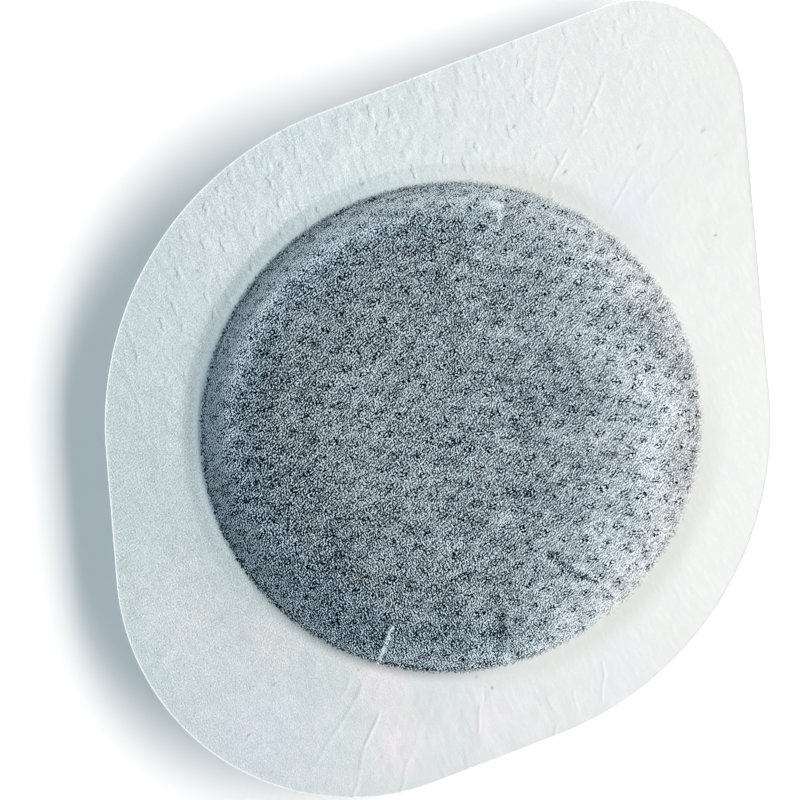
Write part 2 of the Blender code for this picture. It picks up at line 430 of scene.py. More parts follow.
class PodShape(PropertyGroup):
    """Sizes of the papers, which repeat those of the solids."""

    long_radius: length_property("Long radius", "Longer radius of the coffee compartment", 0.0221)
    short_radius: length_property("Short radius", "Shorter radius of the coffee compartment", 0.0214)
    long_angle: angle_property("Long angle", "Where the longer radius points", 57.0)
    paper_thickness: length_property("Paper thickness", "Thickness of one ply", 0.00012)
    shoulder_height: length_property("Shoulder height", "Rise of the dome's shoulder", 0.0027)
    crown_height: length_property("Crown height", "Rise of the dome's crown", 0.0013)
    steep_shoulder: length_property("Steep shoulder", "Width of the shoulder on its steep side", 0.0024)
    gentle_shoulder: length_property("Gentle shoulder", "Width of the shoulder on its other side", 0.0070)
    gentle_angle: angle_property("Gentle angle", "Where the gentle shoulder lies", 2.0)
    cup_wall: length_property("Cup wall", "Width of the lower ply's wall, seen from above", 0.0045)
    main_radius: length_property("Main radius", "Radius of the border's main circle", 0.0293)
    border_shift_x: length_property("Border shift X", "Main circle's centre", -0.0011)
    border_shift_y: length_property("Border shift Y", "Main circle's centre", -0.0004)
    tab_radius: length_property("Tab radius", "Radius of the pull tab's end", 0.0091)
    tab_length: length_property("Tab length", "How far the tab passes the main circle", 0.0132)
    tail_radius: length_property("Tail radius", "Radius of the end opposite the tab", 0.0206)
    tail_length: length_property("Tail length", "How far that end passes the main circle", 0.0058)


class PaperRelief(PropertyGroup):
    """The fine relief of the paper."""

    disc_rings: IntProperty(name="Disc rings", description="Fine rings over the coffee", default=80)
    border_rings: IntProperty(name="Border rings", description="Fine rings of the border", default=44)
    border_spokes: IntProperty(name="Border spokes", description="Points of a border ring", default=1320)
    rim_fillet: length_property("Rim fillet", "Softness of the corner between dome and border", 0.00018)
    dot_step_a: length_property("Dot step A", "Spacing of the embossed dots along their first row", 0.00184)
    dot_angle_a: angle_property("Dot angle A", "Direction of the first row", 22.2)
    dot_step_b: length_property("Dot step B", "Spacing of the dots along their second row", 0.00180)
    dot_angle_b: angle_property("Dot angle B", "Direction of the second row", 84.0)
    dot_length: length_property("Dot length", "Half length of the patch that a dot shows", 0.00060)
    dot_width: length_property("Dot width", "Half width of the patch that a dot shows", 0.00034)
    wrinkle_height: length_property("Wrinkle height", "Height of the border's crinkles", 0.00011)
    lump_height: length_property("Lump height", "Height of the lumps of the puck", 0.00010)
    lip_height: length_property("Lip height", "How far the cut edge stands up", 0.00004)
    lip_width: length_property("Lip width", "Width of the raised cut edge", 0.00012)
    tail_droop: length_property("Tail droop", "How far the border sinks opposite the tab", 0.0005)


class PaperColours(PropertyGroup):
    """Colours and tones of the paper, on its own and with the coffee behind it."""

    # Painted light and shade: the first two papers are one paper in a shaded and in a lit copy, darker and
    # bluer for the border's left side, away from the key light, and paler for its right side
    shaded_paper: colour_property("Cool paper", "Sealed double paper, cool side", (0.597, 0.678, 0.697))
    lit_paper: colour_property("Warm paper", "Sealed double paper, warm side", (0.735, 0.74, 0.735))
    lilac_paper: colour_property("Lilac paper", "Bluer parts of the sealed paper", (0.665, 0.70, 0.775))
    pink_paper: colour_property("Pink paper", "Pinker parts of the sealed paper", (0.80, 0.755, 0.775))
    # Painted shadow: the ring paper is the border's paper in the dome's shadow, darker and bluer
    dome_shadow_paper: colour_property("Ring paper", "Smooth ring beside the coffee", (0.580, 0.668, 0.692))
    cream_paper: colour_property("Cream paper", "Beside the coffee's bright side", (0.625, 0.63, 0.605))
    # Painted glow: the cut edge is painted near white for the light that shines through the paper's edge
    cut_edge_glow: colour_property("Cut edge", "The fused cut edge", (0.97, 0.98, 0.98))
    coffee_stain: colour_property("Coffee stain", "Coffee oil and grains in the paper", (0.20, 0.13, 0.055))
    film_tone: share_property("Film tone", "Mean tone of the single paper over the coffee", 0.535)
    grain_contrast: share_property("Grain contrast", "Strength of the fine strokes of the fibres", 0.153)
    dark_skew: share_property("Dark skew", "How much stronger a dark stroke is than a pale one", 0.75)
    fine_contrast: share_property("Fine contrast", "Strength of the finest grain", 1.4)
    hair_contrast: share_property("Hair contrast", "How much whiter single hairs are", 0.14)
    fibre_contrast: share_property("Fibre contrast", "Strength of the broader fibres", 0.34)
    dot_contrast: share_property("Dot contrast", "How much paler a dot is between its grains", 0.10)
    speck_contrast: share_property("Speck contrast", "How much darker the grains in a dot are", 0.86)


class CoffeeColours(PropertyGroup):
    """Colours of the ground coffee."""

    dark_grain: colour_property("Dark grain", "Dark roasted grain", (0.018, 0.009, 0.006))
    light_grain: colour_property("Light grain", "Lighter chaff", (0.16, 0.085, 0.045))


class StudioSettings(PropertyGroup):
    """Camera, lamps and floor."""

    camera_height: length_property("Camera height", "Camera's height over the border", 0.60)
    key_level: share_property("Key level", "How bright the key alone makes white at the pod", 0.91)
    key_distance: length_property("Key distance", "Distance of the key light", 0.25)
    key_elevation: angle_property("Key elevation", "Key light over the horizon", 49.0)
    key_azimuth: angle_property("Key azimuth", "Where the key light stands in the picture", -1.5)
    key_width: length_property("Key width", "Width of the key light, sideways", 0.42)
    key_height: length_property("Key height", "Height of the key light", 0.11)
    key_colour: colour_property("Key colour", "Colour of the key light", (1.0, 0.98, 0.95))
    fill_level: share_property("Fill level", "How bright the fill alone makes white at the pod", 0.10)
    fill_distance: length_property("Fill distance", "Distance of the fill light", 0.22)
    fill_elevation: angle_property("Fill elevation", "Fill light over the horizon", 50.0)
    fill_azimuth: angle_property("Fill azimuth", "Where the fill light stands in the picture", 185.0)
    fill_width: length_property("Fill width", "Width and height of the fill light", 0.2)
    fill_colour: colour_property("Fill colour", "Colour of the fill light", (0.62, 0.85, 1.0))
    sky_level: share_property("Sky level", "Strength of the even light from all round", 0.11)
    sky_colour: colour_property("Sky colour", "Colour of that even light", (0.88, 0.96, 1.0))
    floor_colour: colour_property("Floor colour", "Colour of the floor", (1.0, 0.93, 0.92))
    floor_glow: colour_property("Floor glow", "What the floor shows the camera", (0.183, 0.235, 0.247))


def direction(angle):
    return np.array((math.cos(angle), math.sin(angle)))


def pod_point(pixel_x, pixel_y):
    """Where a pixel of the photograph lies in the pod's frame, in metres."""
    right = (pixel_x - AXIS_PIXEL_X) * PIXEL
    up = (AXIS_PIXEL_Y - pixel_y) * PIXEL
    return right * direction(ROLL) + up * direction(ROLL + math.pi / 2.0)


def smooth_step(value, low, high):
    """0 below low, 1 above high, and smooth between."""
    share = np.clip((value - low) / (high - low), 0.0, 1.0)
    return share * share * (3.0 - 2.0 * share)


def hill(share):
    """A smooth hill: 1 at 0 and 0 from 1 on."""
    return np.clip(1.0 - share * share, 0.0, 1.0) ** 2


def smooth_max(first, second, softness):
    """The larger of two heights, with a fillet where they cross."""
    near = np.clip(1.0 - np.abs(first - second) / softness, 0.0, 1.0)
    return np.maximum(first, second) + near * near * softness / 4.0


def facing(angle, middle, half_span):
    """A hill round the axis, at a middle and over a half span in degrees of the picture."""
    turn = (angle - ROLL - math.radians(middle) + math.pi) % FULL_TURN - math.pi
    return hill(turn / math.radians(half_span))


def ridge(x, y, start, end, half_width):
    """A hill along a straight stretch: 1 on it, and 0 from half its width on."""
    run = end - start
    share = ((x - start[0]) * run[0] + (y - start[1]) * run[1]) / (run @ run)
    share = np.clip(share, 0.0, 1.0)
    away = np.hypot(x - start[0] - share * run[0], y - start[1] - share * run[1])
    return hill(away / half_width)


def pixel_ridge(x, y, row):
    """The ridge of a crease or mark, which runs from one pixel of the photograph to another."""
    start = pod_point(row.start_x, row.start_y)
    end = pod_point(row.end_x, row.end_y)
    return ridge(x, y, start, end, row.half_width * MM)


def spots(at, rows, field):
    """Round hills at pixels of the photograph, each as strong as that field of its row says."""
    total = np.zeros_like(at.x)
    for row in rows:
        place = pod_point(row.pixel_x, row.pixel_y)
        away = np.hypot(at.x - place[0], at.y - place[1])
        total += getattr(row, field) * hill(away / (row.radius * MM))
    return total


class SmoothNoise:
    """Seeded noise between -1 and 1 that varies smoothly from one cell to the next."""

    CELLS = 256

    def __init__(self, seed):
        self.values = np.random.default_rng(seed).uniform(-1.0, 1.0, (self.CELLS, self.CELLS))

    def at(self, x, y, around=CELLS):
        """The noise at places given in cells. Across x it repeats after so many cells."""
        column = np.floor(x).astype(int)
        row = np.floor(y).astype(int)
        across = smooth_step(x - column, 0.0, 1.0)
        along = smooth_step(y - row, 0.0, 1.0)
        left, right = column % around, (column + 1) % around
        lower, upper = row % self.CELLS, (row + 1) % self.CELLS
        low = self.values[left, lower] * (1.0 - across) + self.values[right, lower] * across
        high = self.values[left, upper] * (1.0 - across) + self.values[right, upper] * across
        return low * (1.0 - along) + high * along

    def over(self, at, cell, shift_x, shift_y):
        """The noise over the table, with the size of its cells in mm."""
        return self.at(at.x / (cell * MM) + shift_x, at.y / (cell * MM) + shift_y)

    def around(self, at, cells, length, shift_turn=0.0, shift_reach=0.0):
        """The noise in so many cells round the axis, with their length away from it in mm."""
        turns = at.angle / FULL_TURN * cells + shift_turn
        return self.at(turns, at.reach / (length * MM) + shift_reach, cells)


class Points:
    """Points of the pod seen from above: angle round the axis, reach from it, and what follows."""

    def __init__(self, form, angle, reach):
        self.angle, self.reach = angle, reach
        self.x, self.y = reach * np.cos(angle), reach * np.sin(angle)
        self.rim = form.rim(angle)
        self.inside = self.rim - reach
        self.outside = -self.inside


class PodForm:
    """The pod's faces as heights over the table."""

    def __init__(self, shape, relief):
        self.shape = shape
        self.relief = relief
        self.upper_seal = UPPER_BOX[0].z
        self.lower_seal = LOWER_BOX[1].z
        self.lowest = LOWER_BOX[0].z
        self.cup_depth = self.lower_seal - shape.paper_thickness - self.lowest
        centre = np.array((shape.border_shift_x, shape.border_shift_y))
        tab_shift = shape.main_radius + shape.tab_length - shape.tab_radius
        tail_shift = shape.main_radius + shape.tail_length - shape.tail_radius
        main = (centre, shape.main_radius)
        tab = (centre + np.array((0.0, tab_shift)), shape.tab_radius)
        tail = (centre - np.array((0.0, tail_shift)), shape.tail_radius)
        self.circles = (main, tab, tail)
        self.stretches = (*self.tangents(main, tab), *self.tangents(main, tail))
        self.lumps = SmoothNoise(3)
        self.wrinkles = SmoothNoise(7)
        self.ripples = SmoothNoise(11)
        self.sways = SmoothNoise(19)

    @staticmethod
    def tangents(first, second):
        """The two outer tangent stretches between two circles."""
        (centre_a, radius_a), (centre_b, radius_b) = first, second
        gap = centre_b - centre_a
        lean = math.asin((radius_a - radius_b) / np.hypot(*gap))
        for side in (1.0, -1.0):
            normal = direction(math.atan2(gap[1], gap[0]) + side * (math.pi / 2.0 - lean))
            yield centre_a + radius_a * normal, centre_b + radius_b * normal

    def rim(self, angle):
        """Reach of the coffee compartment's rim."""
        turn = angle - self.shape.long_angle
        along = np.cos(turn) / self.shape.long_radius
        across = np.sin(turn) / self.shape.short_radius
        return 1.0 / np.hypot(along, across)

    def edge(self, angle):
        """Reach of the border's cut edge."""
        ray_x, ray_y = np.cos(angle), np.sin(angle)
        best = np.zeros_like(angle)
        for centre, radius in self.circles:
            middle = centre[0] * ray_x + centre[1] * ray_y
            square = middle * middle - centre @ centre + radius * radius
            best = np.maximum(best, np.where(square > 0.0, middle + np.sqrt(np.abs(square)), 0.0))
        for start, end in self.stretches:
            run = end - start
            turn = ray_x * run[1] - ray_y * run[0]
            turn = np.where(np.abs(turn) < PARALLEL, PARALLEL, turn)
            reach = (start[0] * run[1] - start[1] * run[0]) / turn
            share = (start[0] * ray_y - start[1] * ray_x) / turn
            best = np.maximum(best, np.where((share >= 0.0) & (share <= 1.0), reach, 0.0))
        return best

    def shoulder_width(self, at):
        mean = (self.shape.gentle_shoulder + self.shape.steep_shoulder) / 2.0
        swing = (self.shape.gentle_shoulder - self.shape.steep_shoulder) / 2.0
        return mean + swing * np.cos(at.angle - self.shape.gentle_angle)

    def dome(self, at):
        """Inner face of the upper ply over the coffee, carried on below the border outside the rim."""
        share = np.minimum(at.inside / self.shoulder_width(at), 1.0)
        shoulder = self.shape.shoulder_height * (1.0 - (1.0 - share) ** 2)
        crown = self.shape.crown_height * (1.0 - (at.reach / at.rim) ** 2)
        return self.upper_seal + shoulder + crown

    def dome_slope(self, at):
        width = self.shoulder_width(at)
        return 2.0 * self.shape.shoulder_height * (1.0 - np.minimum(at.inside / width, 1.0)) / width

    def folds(self, at):
        """How far the folds lift or sink the upper ply over the coffee."""
        total = np.zeros_like(at.reach)
        for fold in FOLDS:
            start = fold.inner_reach * direction(math.radians(fold.inner_angle))
            end = fold.outer_reach * direction(math.radians(fold.outer_angle))
            total += fold.height * ridge(at.x, at.y, start, end, fold.half_width)
        return total * smooth_step(at.inside, *FOLD_START)

    def sway(self, at):
        """How far the border of both plies bends off its plane."""
        free = smooth_step(at.outside, *SWAY_START)
        away = np.clip(-np.sin(at.angle), 0.0, 1.0) ** 2
        return free * (SWAY * self.sways.over(at, 9.0, 40.0, 40.0) - self.relief.tail_droop * away)

    def crinkles(self, at):
        """Fine relief of the border: crinkles that run away from the puck, and single creases."""
        crumpled = np.full_like(at.angle, 0.25)
        for crumple in CRUMPLES:
            crumpled += crumple.amount * facing(at.angle, crumple.middle, crumple.half_span)
        fine = self.wrinkles.around(at, 230, 1.1)
        broad = self.ripples.around(at, 90, 2.2)
        ridges = 1.0 - 2.0 * np.abs(self.ripples.around(at, 120, 3.0, 7.0, 31.0))
        relief = 0.35 * fine + 0.45 * broad + 0.3 * np.clip(ridges, 0.0, 1.0) ** 3
        height = self.relief.wrinkle_height * np.minimum(crumpled, 1.0) * relief
        waver = CREASE_WAVER * self.wrinkles.over(at, 1.1, 90.0, 90.0)
        for crease in CREASES:
            height += crease.height * MM * pixel_ridge(at.x + waver, at.y + waver, crease)
        return height * smooth_step(at.outside, *CRINKLE_START)

    def flat(self, at):
        """Where a point of the paper lay in the flat sheet, before it was drawn over the puck."""
        width = self.shoulder_width(at)
        share = np.clip(at.inside / width, 0.0, 1.0)
        drawn = np.hypot(width, self.shape.shoulder_height) - width
        reach = at.reach + drawn * (1.0 - share) ** 1.7
        return reach * np.cos(at.angle), reach * np.sin(at.angle)

    def lip(self, at):
        """The raised cut edge."""
        inside = self.edge(at.angle) - at.reach
        return self.relief.lip_height * (1.0 - smooth_step(inside, 0.0, self.relief.lip_width))

    def puck_lumps(self, at):
        """Lumps of the coffee under the film, which sink it by less than the paper's thickness."""
        lumps = self.lumps.over(at, 4.2, 60.0, 60.0) + 0.3 * self.lumps.over(at, 1.5, 160.0, 160.0)
        lumps *= self.relief.lump_height * smooth_step(at.inside, *LUMP_START)
        return np.maximum(lumps, -0.3 * self.shape.paper_thickness)

    def upper_outside(self, at):
        thickness = self.shape.paper_thickness
        raised = thickness * np.sqrt(1.0 + self.dome_slope(at) ** 2)
        dome = self.dome(at) + raised + self.folds(at) + self.puck_lumps(at)
        border = self.upper_seal + thickness + self.crinkles(at) + self.lip(at)
        return smooth_max(dome, border, self.relief.rim_fillet) + self.sway(at)

    def upper_inside(self, at):
        return np.maximum(self.dome(at) + self.folds(at), self.upper_seal) + self.sway(at)

    def wall_share(self, at):
        """0 at the rim, and 1 from the foot of the cup's wall on."""
        return np.clip(at.inside / self.shape.cup_wall, 0.0, 1.0)

    def lower_inside(self, at):
        cup = self.lower_seal - self.cup_depth * (1.0 - (1.0 - self.wall_share(at)) ** 2)
        return cup + self.sway(at)

    def puckers(self, at):
        """Gathers in the wall of the cup."""
        wall = hill(2.0 * self.wall_share(at) - 1.0)
        return PUCKER * wall * self.ripples.around(at, 90, 5.0, 11.0, 80.0)

    def lower_outside(self, at):
        share = self.wall_share(at)
        slope = np.where(share > 0.0, 2.0 * self.cup_depth * (1.0 - share) / self.shape.cup_wall, 0.0)
        thickness = self.shape.paper_thickness * np.sqrt(1.0 + slope**2)
        turned = Points(self, at.angle + LOWER_TURN, at.reach)
        crinkles = 0.6 * self.crinkles(turned) * smooth_step(at.outside, *LOWER_START)
        height = self.lower_inside(at) - thickness + self.puckers(at) - crinkles
        return np.maximum(height, self.lowest)


class RingMesh:
    """A mesh of rings round the axis. Each ring holds the angle, reach and height of its points."""

    def __init__(self):
        self.rings, self.faces, self.hidden = [], [], []
        self.count = 0

    def add_ring(self, at, heights):
        start = self.count
        self.rings.append((at.angle, at.reach, heights))
        self.count += len(heights)
        return start, len(heights)

    def join(self, inner, outer, up, hidden):
        """Triangles between a ring and one outside it with as many points or more."""
        (inner_start, inner_count), (outer_start, outer_count) = inner, outer
        step = np.arange(outer_count + 1)
        nearest = np.floor((step + 0.5) * inner_count / outer_count + 0.5).astype(int)
        nearest[-1] = nearest[0] + inner_count
        step = step[:-1]
        here = inner_start + nearest[:-1] % inner_count
        first = outer_start + step
        second = outer_start + (step + 1) % outer_count
        fans = np.stack((here, first, second), 1)
        turns = np.nonzero(nearest[1:] > nearest[:-1])[0]
        ahead = inner_start + nearest[turns + 1] % inner_count
        gaps = np.stack((here[turns], second[turns], ahead), 1)
        faces = np.concatenate((fans, gaps)) if inner_count > 1 else fans
        self.faces.append(faces if up else faces[:, ::-1])
        self.hidden.append(np.full(len(faces), hidden))

    def add_face(self, rings, height_of, up, hidden):
        """Adds rings from the axis outwards, joined to each other, and gives the last one."""
        last = None
        for at in rings:
            ring = self.add_ring(at, height_of(at))
            if last is not None:
                self.join(last, ring, up, hidden)
            last = ring
        return last

    def arrays(self):
        rings = [np.concatenate(values) for values in zip(*self.rings)]
        return (*rings, np.concatenate(self.faces), np.concatenate(self.hidden))


def ring_angles(count):
    return np.arange(count) * FULL_TURN / count


def face_rings(form, disc_rings, border_rings, border_spokes, lip_steps):
    """The rings of one face, from the axis to the cut edge, closer together at the rim."""
    yield Points(form, np.zeros(1), np.zeros(1))
    for ring in range(1, disc_rings + 1):
        angles = ring_angles(6 * ring)
        share = ring / disc_rings
        yield Points(form, angles, form.rim(angles) * (1.3 * share - 0.3 * share * share))
    angles = ring_angles(border_spokes)
    rim, edge = form.rim(angles), form.edge(angles)
    inner_end = edge - lip_steps[0] * form.relief.lip_width
    for ring in range(1, border_rings + 1):
        share = ring / border_rings
        yield Points(form, angles, rim + (0.75 * share + 0.25 * share * share) * (inner_end - rim))
    for step in lip_steps[1:]:
        yield Points(form, angles, edge - step * form.relief.lip_width)


def build_ply(form, outside, inside, up):
    """A closed sheet: a fine outer face, the cut edge and a coarser inner face."""
    mesh = RingMesh()
    relief = form.relief
    counts = (relief.disc_rings, relief.border_rings, relief.border_spokes)
    outer = mesh.add_face(face_rings(form, *counts, LIP_STEPS), outside, up, False)
    angles = ring_angles(relief.border_spokes)
    edge = Points(form, angles, form.edge(angles))
    far_side = mesh.add_ring(edge, inside(edge))
    mesh.join(outer, far_side, up, False)
    coarse_counts = [count // COARSER for count in counts]
    inner = mesh.add_face(face_rings(form, *coarse_counts, LIP_STEPS[:1]), inside, not up, True)
    mesh.join(inner, far_side, not up, True)
    return mesh


def paper_tone(form, at):
    """Change of the film's tone over the coffee, by patches, marks and stains; many patches and marks
    are painted light and shade.
    """
    share = at.reach / at.rim
    tone = spots(at, STAINS, "shade")
    for patch in PATCHES:
        place = facing(at.angle, patch.middle, patch.half_span)
        tone += patch.tone * place * smooth_step(share, patch.start, patch.full)
    waver = MARK_WAVER * form.wrinkles.over(at, 0.7, 20.0, 50.0)
    for mark in MARKS:
        tone += mark.tone * pixel_ridge(at.x + waver, at.y - waver, mark)
    return tone


def paper_facts(form, at, seen_from_above):
    """What the material reads at each point: lengths in mm, and shares."""
    side = {name: facing(at.angle, *span) ** power for name, (*span, power) in SIDES.items()}
    share = at.reach / at.rim
    right_side = side["right"] * smooth_step(share, 0.2, 0.7)
    low_side = side["low"] * smooth_step(share, 0.25, 0.7)
    picture_x = at.reach * np.cos(at.angle - ROLL) / LIT_REACH
    picture_y = at.reach * np.sin(at.angle - ROLL) / LIT_REACH
    felt = FELT + sum(strength * side[name] for name, strength in FELT_SIDES.items())
    shown = 1.0 if seen_from_above else 0.0
    return {
        "inside_rim": at.inside / MM,
        "inside_edge": (form.edge(at.angle) - at.reach) / MM,
        "tone": shown * paper_tone(form, at),
        "warmth": shown * spots(at, STAINS, "warmth"),
        # Dark specks, less painted highlights where the embossing catches the light
        "specks_and_highlights": spots(at, SPECKS, "strength") - HIGHLIGHT_STRENGTH * spots(at, EMBOSS_HIGHLIGHTS, "strength"),
        "pink": spots(at, TINTS, "pink"),
        "lilac": spots(at, TINTS, "lilac"),
        "ledge": side["ledge"],
        "ragged_rim": side["ragged_rim"],
        "ring": side["ring"],
        "top_side": side["top"],
        "right_side": right_side,
        "turned": 0.42 - 0.36 * right_side + 0.12 * low_side,
        "cream": side["cream"] + 0.9 * side["upper_cream"],
        # Painted light beside the puck on the left, less painted shade beside it on the lower left
        "corner_light_and_shade": side["corner_light_and_shade"] - 0.45 * side["lower_corner_shade"],
        "felt": np.minimum(felt, 1.0),
        # Painted light and shade: share of the lit copy of the border's paper, low on the left, high on the
        # right
        "lit_side": smooth_step(picture_x - 0.12 * picture_y, -1.15, 1.0),
    }


def add_bake_map(mesh, at, faces, hidden):
    """A map seen from above: the outer face fills it, and the inner one is small beside it."""
    scale = np.where(hidden, 0.20, 0.98)[:, None] / np.ptp(at.y)
    left = np.where(hidden, 0.79, 0.01)[:, None]
    u = left + (at.x[faces] - at.x.min()) * scale
    v = 0.01 + (at.y[faces] - at.y.min()) * scale
    layer = mesh.uv_layers.new(name="OFBake")
    layer.uv.foreach_set("vector", np.stack((u, v), 2).astype(np.float32).ravel())


def make_ply(name, form, ring_mesh, seen_from_above, material):
    """The object of a ply, with what its material reads at each point."""
    angle, reach, height, faces, hidden = ring_mesh.arrays()
    at = Points(form, angle, reach)
    mesh = bpy.data.meshes.new(name)
    mesh.vertices.add(len(height))
    mesh.vertices.foreach_set("co", np.stack((at.x, at.y, height), 1).astype(np.float32).ravel())
    mesh.loops.add(faces.size)
    mesh.loops.foreach_set("vertex_index", faces.astype(np.int32).ravel())
    mesh.polygons.add(len(faces))
    mesh.polygons.foreach_set("loop_start", np.arange(0, faces.size, 3, dtype=np.int32))
    mesh.update(calc_edges=True)
    if mesh.validate():
        raise RuntimeError(f"the mesh of {name} has faulty faces")
    mesh.shade_smooth()
    mesh.set_sharp_from_angle(angle=SHARP_ANGLE)
    flat_x, flat_y = form.flat(at)
    if not seen_from_above:
        flat_x = LOWER_SHIFT - flat_x
    flat = np.stack((flat_x / MM, flat_y / MM, np.zeros_like(flat_x)), 1)
    attribute = mesh.attributes.new("flat", "FLOAT_VECTOR", "POINT")
    attribute.data.foreach_set("vector", flat.astype(np.float32).ravel())
    for fact, values in paper_facts(form, at, seen_from_above).items():
        attribute = mesh.attributes.new(fact, "FLOAT", "POINT")
        attribute.data.foreach_set("value", values.astype(np.float32))
    add_bake_map(mesh, at, faces, hidden)
    mesh.materials.append(material)
    obj = bpy.data.objects.new(name, mesh)
    bpy.context.scene.collection.objects.link(obj)
    return obj


def maths(operation, turned=False, clamp=False):
    """A method of Wire that adds a Math node, with its values the other way round if turned."""

    def method(wire, *others):
        values = (*others, wire) if turned else (wire, *others)
        settings = {"operation": operation, "use_clamp": clamp}
        return wire.sheet.node("ShaderNodeMath", settings, dict(enumerate(values)))

    return method


class Wire:
    """A number that varies over a surface. Plain maths on it adds Math nodes."""

    def __init__(self, sheet, socket):
        self.sheet = sheet
        self.socket = socket

    __add__ = maths("ADD")
    __radd__ = maths("ADD", turned=True)
    __sub__ = maths("SUBTRACT")
    __rsub__ = maths("SUBTRACT", turned=True)
    __mul__ = maths("MULTIPLY")
    __rmul__ = maths("MULTIPLY", turned=True)
    __truediv__ = maths("DIVIDE")
    __pow__ = maths("POWER")
    largest = maths("MAXIMUM")
    smallest = maths("MINIMUM")
    size = maths("ABSOLUTE")
    fraction = maths("FRACT")
    whole = maths("FLOOR")
    clamped_sum = maths("ADD", clamp=True)

    def clamped(self):
        return self.clamped_sum(0.0)

    def rising(self, low, high):
        """0 below low, 1 above high, and smooth between."""
        values = {"Value": self, "From Min": low, "From Max": high}
        return self.sheet.node("ShaderNodeMapRange", {"interpolation_type": "SMOOTHSTEP"}, values)

    def falling(self, low, high):
        """1 below low, 0 above high, and smooth between."""
        return 1.0 - self.rising(low, high)


class Sheet:
    """The node tree of a material or of the world."""

    def __init__(self, owner):
        owner.use_nodes = True
        self.tree = owner.node_tree
        self.tree.nodes.clear()

    def node(self, kind, settings, values, output=0):
        """Adds a node: its settings come first, then the values or links of its sockets."""
        made = self.tree.nodes.new(kind)
        for name, value in settings.items():
            setattr(made, name, value)
        for name, value in values.items():
            self.feed(made.inputs[name], value)
        return Wire(self, made.outputs[output]) if made.outputs else None

    def feed(self, socket, value):
        if isinstance(value, Wire):
            self.tree.links.new(value.socket, socket)
        elif socket.type == "RGBA" and len(value) == 3:
            socket.default_value = (*value, 1.0)
        else:
            socket.default_value = value

    def number(self, name):
        return self.node("ShaderNodeAttribute", {"attribute_name": name}, {}, "Fac")

    def parts(self, vector):
        """The X and Y of a vector."""
        first = self.node("ShaderNodeSeparateXYZ", {}, {"Vector": vector}, "X")
        return first, Wire(self, first.socket.node.outputs["Y"])

    def vector(self, x, y, z=0.0):
        return self.node("ShaderNodeCombineXYZ", {}, {"X": x, "Y": y, "Z": z})

    def mix(self, share, first, second):
        """Colours mixed by a share; the second one at 1."""
        return self.node("ShaderNodeMix", {"data_type": "RGBA"}, {0: share, 6: first, 7: second}, 2)

    def scaled(self, colour, share):
        """A colour made darker or paler."""
        return self.node("ShaderNodeVectorMath", {"operation": "SCALE"}, {0: colour, "Scale": share})

    def bump(self, strength, distance, height):
        values = {"Strength": strength, "Distance": distance, "Height": height}
        return self.node("ShaderNodeBump", {}, values)

    def surface(self, values):
        shader = self.node("ShaderNodeBsdfPrincipled", {}, values)
        self.node("ShaderNodeOutputMaterial", {}, {"Surface": shader})


def oval(x, y, angle, length, width):
    """Distance from the middle of an oval: 1 on its outline, whose half length and width are in mm."""
    cosine, sine = math.cos(angle), math.sin(angle)
    along = x * (cosine / length) + y * (sine / length)
    across = x * (-sine / width) + y * (cosine / width)
    return (along * along + across * across) ** 0.5


